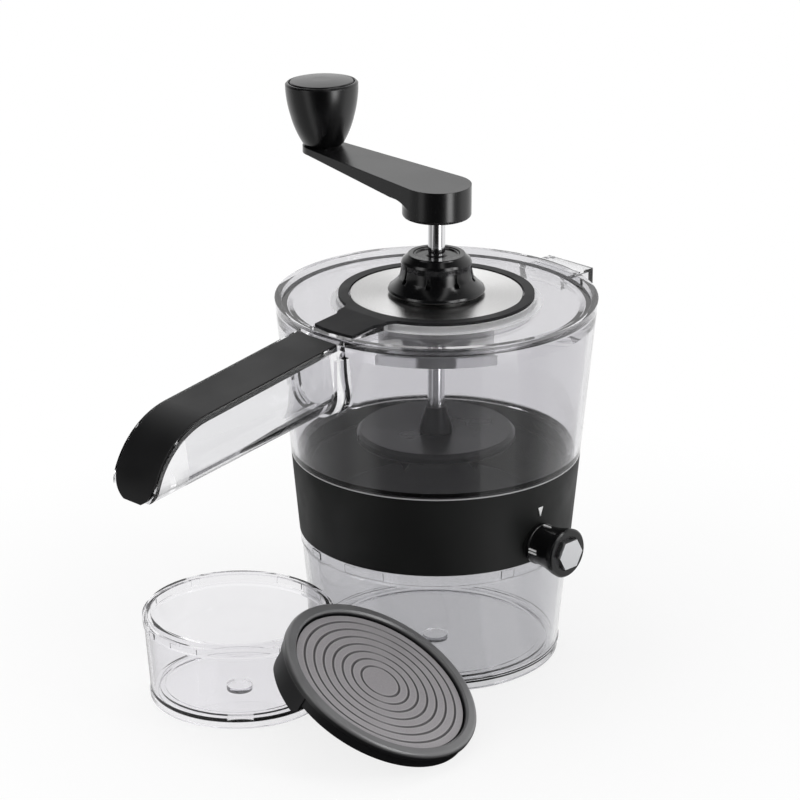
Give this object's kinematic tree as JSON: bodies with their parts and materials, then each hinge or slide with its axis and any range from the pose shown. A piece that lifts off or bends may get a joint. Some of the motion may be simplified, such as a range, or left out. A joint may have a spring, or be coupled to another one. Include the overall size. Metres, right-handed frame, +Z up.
{
  "type": "spiralizer",
  "caption": "Hand-cranked spiral vegetable slicer: clear catch container, black cutting band with selector knob, clear vessel with handle, lid with crank, and a small bowl with its own lid.",
  "frame": {"origin": "centre of the catch container's underside, on the tool's upright axis", "axes": "+Z up along the spindle; the handle points along -X, the selector knob along -Y, the rim's lug along +X; the crank rests close to +Y"},
  "size_m": [0.2818, 0.1977, 0.2625],
  "materials": {
    "clear_plastic": "clear moulded plastic, polished",
    "black_satin": "black moulded plastic, satin",
    "black_gloss": "black moulded plastic, glossy",
    "soft_black": "dark grey soft-touch plastic",
    "dark_grey": "dark grey moulded plastic",
    "pale_bearing": "pale low-friction plastic",
    "smoke_plastic": "grey translucent plastic",
    "grey_plastic": "grey moulded plastic",
    "white_print": "white marks",
    "brushed_steel": "spun brushed stainless steel",
    "blade_steel": "ground stainless steel",
    "screw_steel": "plain stainless steel",
    "polished_steel": "polished stainless steel",
    "satin_metal": "satin silver metal"
  },
  "bodies": {
    "container": {"catch_container": "clear_plastic"},
    "cutter": {"cutter_housing": "black_satin", "blade_deck": "black_satin", "deck_screws": "screw_steel", "main_blade": "blade_steel", "blade_screws": "screw_steel", "pivot_cap": "black_satin", "cap_screws": "screw_steel", "selector_bush": "pale_bearing", "detent_ball": "screw_steel", "detent_spring": "screw_steel", "pointer_mark": "white_print"},
    "selector": {"selector_bar": "dark_grey", "fine_comb": "blade_steel", "medium_comb": "blade_steel", "coarse_comb": "blade_steel", "selector_knob": "black_satin", "selector_hex": "satin_metal", "knob_screw": "screw_steel", "selector_marks": "white_print"},
    "vessel": {"vessel": "clear_plastic", "handle_grip": "soft_black"},
    "lid": {"lid": "clear_plastic", "lid_trim": "soft_black", "lid_disc": "brushed_steel", "hub_cover": "smoke_plastic", "grip_collar": "black_gloss", "collar_nut": "black_satin"},
    "sleeve": {"guide_sleeve": "black_satin", "sleeve_clip": "blade_steel"},
    "spindle": {"spindle_shaft": "polished_steel", "crank_arm": "black_satin", "knob_pin": "polished_steel", "pusher_disc": "black_satin", "pusher_screw": "screw_steel"},
    "crank_knob": {"crank_knob": "black_gloss", "knob_cap": "black_satin"},
    "bowl": {"storage_bowl": "clear_plastic"},
    "bowl_lid": {"storage_lid": "soft_black", "storage_lid_insert": "grey_plastic"}
  },
  "joints": [
    {"name": "cutter_lift", "type": "slide", "parent": "container", "child": "cutter", "axis": [0, 0, 1], "range_m": [0, 0.06]},
    {"name": "selector_turn", "type": "hinge", "parent": "cutter", "child": "selector", "pos_m": [0, -0.0666, 0.0702], "axis": [0, -1, 0], "continuous": true},
    {"name": "vessel_lift", "type": "slide", "parent": "cutter", "child": "vessel", "axis": [0, 0, 1], "range_m": [0, 0.06]},
    {"name": "lid_lift", "type": "slide", "parent": "vessel", "child": "lid", "axis": [0, 0, 1], "range_m": [0, 0.09]},
    {"name": "crank_turn", "type": "hinge", "parent": "lid", "child": "sleeve", "pos_m": [0, 0, 0.18], "axis": [0, 0, 1], "continuous": true},
    {"name": "spindle_slide", "type": "slide", "parent": "sleeve", "child": "spindle", "axis": [0, 0, 1], "range_m": [-0.017, 0.0305]},
    {"name": "knob_spin", "type": "hinge", "parent": "spindle", "child": "crank_knob", "pos_m": [0.00442, 0.07908, 0.23038], "axis": [0.0019, 0.0348, 0.9994], "continuous": true},
    {"name": "bowl_lift", "type": "slide", "parent": "container", "child": "bowl", "axis": [-0.7165, 0.1692, 0.6767], "range_m": [0, 0.04]},
    {"name": "bowl_lid_lift", "type": "slide", "parent": "bowl", "child": "bowl_lid", "axis": [-0.3498, -0.5997, 0.7197], "range_m": [0, 0.04]}
  ]
}
